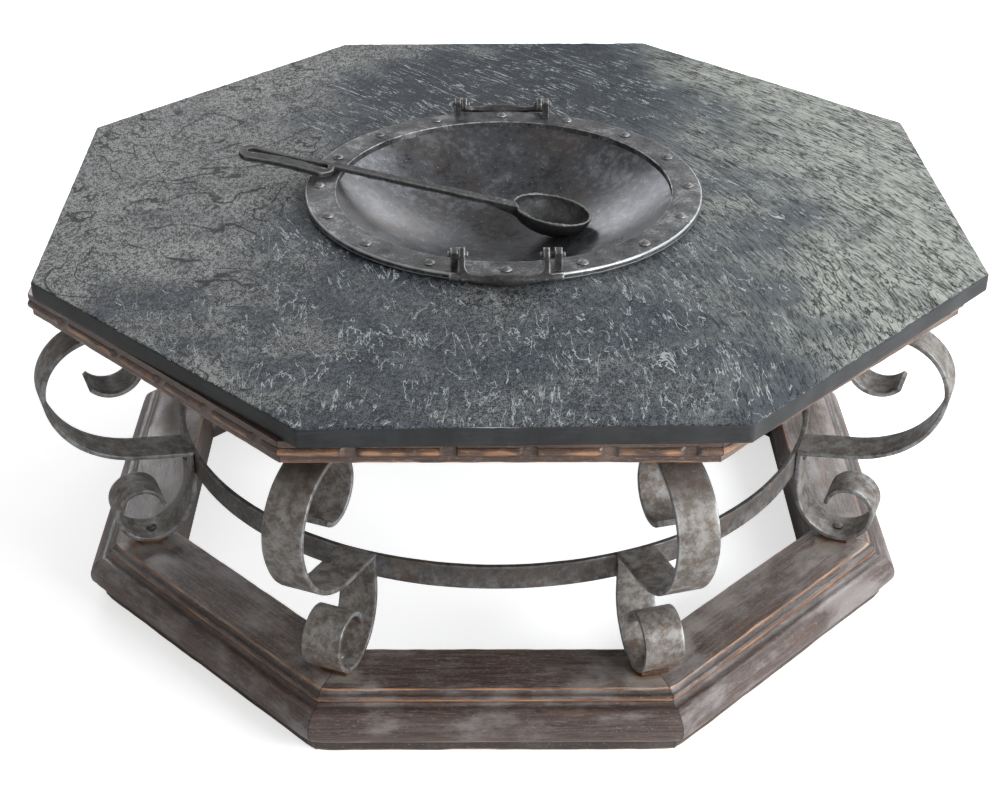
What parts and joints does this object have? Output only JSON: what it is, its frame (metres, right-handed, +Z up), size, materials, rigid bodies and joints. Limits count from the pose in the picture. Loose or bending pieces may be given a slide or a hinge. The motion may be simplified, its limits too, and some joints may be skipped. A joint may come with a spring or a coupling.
{
  "type": "brazier table",
  "caption": "Octagonal slate-topped hibachi table: sunk metal fire dish with riveted ring and drop handles, ladle, iron scroll legs with a hoop, moulded timber base ring.",
  "frame": {"origin": "on the floor under the middle of the overall box, to within 3 mm; the slate's middle is 8.5 mm to the +X side of it and the base's middle 8.1 mm to the -X side", "axes": "+Z up; -Y is the front, the side that faces the viewer; +X is the viewer's right"},
  "size_m": [1.1321, 1.1235, 0.5152],
  "materials": {
    "slate": "natural cleft top, honed edges",
    "oak": "dark stained and worn",
    "leg_iron": "forged flat bar, mottled brown-grey",
    "dish_steel": "dark, heat-stained, satin",
    "ring_steel": "dark oiled steel with worn edges",
    "bail_iron": "forged black with worn edges",
    "ladle_iron": "forged black",
    "rusty_iron": "rusted"
  },
  "bodies": {
    "stand": {"base_mitre_keys": "oak", "base_rail_1": "oak", "base_rail_2": "oak", "base_rail_3": "oak", "base_rail_4": "oak", "base_rail_5": "oak", "base_rail_6": "oak", "base_rail_7": "oak", "base_rail_8": "oak", "bearer_mitre_keys": "oak", "foot_screws": "rusty_iron", "foot_washers": "rusty_iron", "head_screws": "leg_iron", "hoop": "leg_iron", "hoop_rivets": "leg_iron", "leg_1": "leg_iron", "leg_2": "leg_iron", "leg_3": "leg_iron", "leg_4": "leg_iron", "leg_5": "leg_iron", "leg_6": "leg_iron", "leg_7": "leg_iron", "leg_8": "leg_iron", "slate_top": "slate", "top_bearer_1": "oak", "top_bearer_2": "oak", "top_bearer_3": "oak", "top_bearer_4": "oak", "top_bearer_5": "oak", "top_bearer_6": "oak", "top_bearer_7": "oak", "top_bearer_8": "oak", "top_moulding_1": "oak", "top_moulding_2": "oak", "top_moulding_3": "oak", "top_moulding_4": "oak", "top_moulding_5": "oak", "top_moulding_6": "oak", "top_moulding_7": "oak", "top_moulding_8": "oak"},
    "dish": {"bail_pins": "bail_iron", "dish_pan": "dish_steel", "dish_ring": "ring_steel", "lug_back_left": "bail_iron", "lug_back_right": "bail_iron", "lug_front_left": "bail_iron", "lug_front_right": "bail_iron", "ring_rivets": "ring_steel"},
    "front_bail": {"bail_front": "bail_iron"},
    "back_bail": {"bail_back": "bail_iron"},
    "ladle": {"ladle": "ladle_iron"}
  },
  "joints": [
    {"name": "dish_lift", "type": "slide", "parent": "stand", "child": "dish", "axis": [0, 0, 1], "range_m": [0, 0.15]},
    {"name": "front_bail_hinge", "type": "hinge", "parent": "dish", "child": "front_bail", "pos_m": [0.0045, -0.229, 0.5033], "axis": [-1, 0, 0], "range_deg": [0, 120]},
    {"name": "back_bail_hinge", "type": "hinge", "parent": "dish", "child": "back_bail", "pos_m": [0.0045, 0.231, 0.5033], "axis": [1, 0, 0], "range_deg": [0, 120]},
    {"name": "ladle_lift", "type": "slide", "parent": "dish", "child": "ladle", "axis": [0, 0, 1], "range_m": [0, 0.15]}
  ]
}
